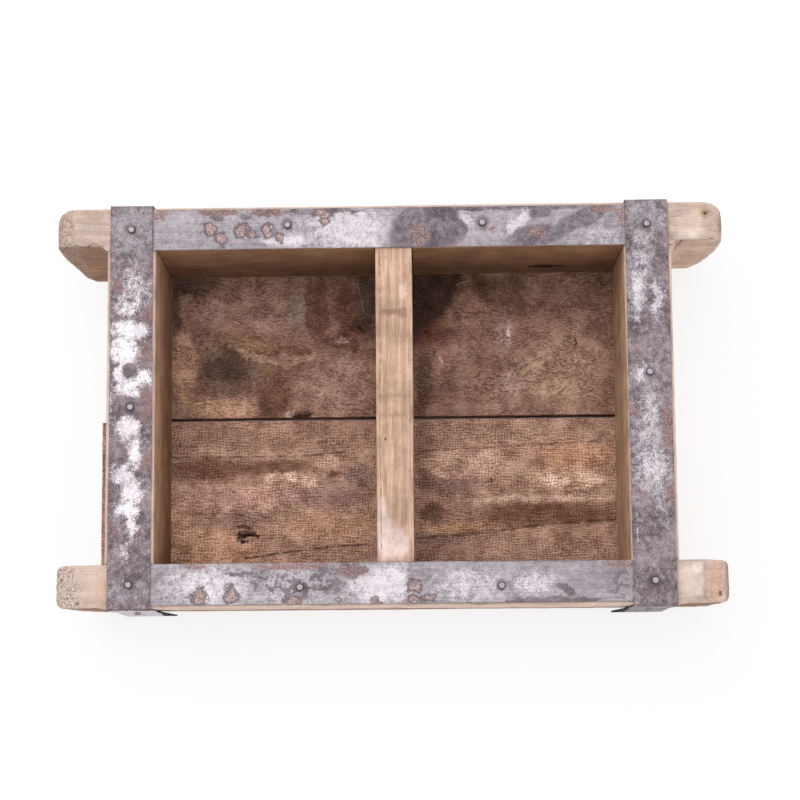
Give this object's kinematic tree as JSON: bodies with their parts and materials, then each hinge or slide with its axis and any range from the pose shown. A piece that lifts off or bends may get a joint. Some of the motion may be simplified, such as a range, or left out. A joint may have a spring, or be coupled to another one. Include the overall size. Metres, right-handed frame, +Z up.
{
  "type": "brick mould",
  "caption": "Wooden brick mould with side-by-side cells, a plank floor, hand-cut handles, and nailed hoop iron along its upper edges.",
  "frame": {"origin": "middle of the footprint's box, on the underside of the floor planks", "axes": "+X along the rails towards the right handles, +Y from the front rail to the rear rail, +Z up, out of the open cells"},
  "size_m": [0.4524, 0.277, 0.0948],
  "materials": {
    "rail_wood": "bare, hand-worn, end grain rough at the handles",
    "end_board_wood": "bare, stained by clay",
    "divider_wood": "bare, rubbed light along the top",
    "floor_wood": "bare, rough-sawn, dark grain and stains",
    "hoop_iron": "grey, scuffed bright in patches, with rust spots",
    "nail_iron": "dark, lightly rusted"
  },
  "bodies": {
    "root": {"rear_rail": "rail_wood", "front_rail": "rail_wood", "left_end_board": "end_board_wood", "right_end_board": "end_board_wood", "divider": "divider_wood", "rear_floor_board": "floor_wood", "front_floor_board": "floor_wood", "left_end_strap": "hoop_iron", "right_end_strap": "hoop_iron", "rear_rail_strap": "hoop_iron", "front_rail_strap": "hoop_iron", "left_end_strap_nails": "nail_iron", "right_end_strap_nails": "nail_iron", "rear_rail_strap_nails": "nail_iron", "front_rail_strap_nails": "nail_iron", "left_lug_nails": "nail_iron", "right_lug_nails": "nail_iron", "rear_left_corner_nails": "nail_iron", "rear_right_corner_nails": "nail_iron", "rear_divider_nails": "nail_iron", "front_left_corner_nails": "nail_iron", "front_right_corner_nails": "nail_iron", "front_divider_nails": "nail_iron", "rear_floor_nails": "nail_iron", "front_floor_nails": "nail_iron"}
  },
  "joints": []
}
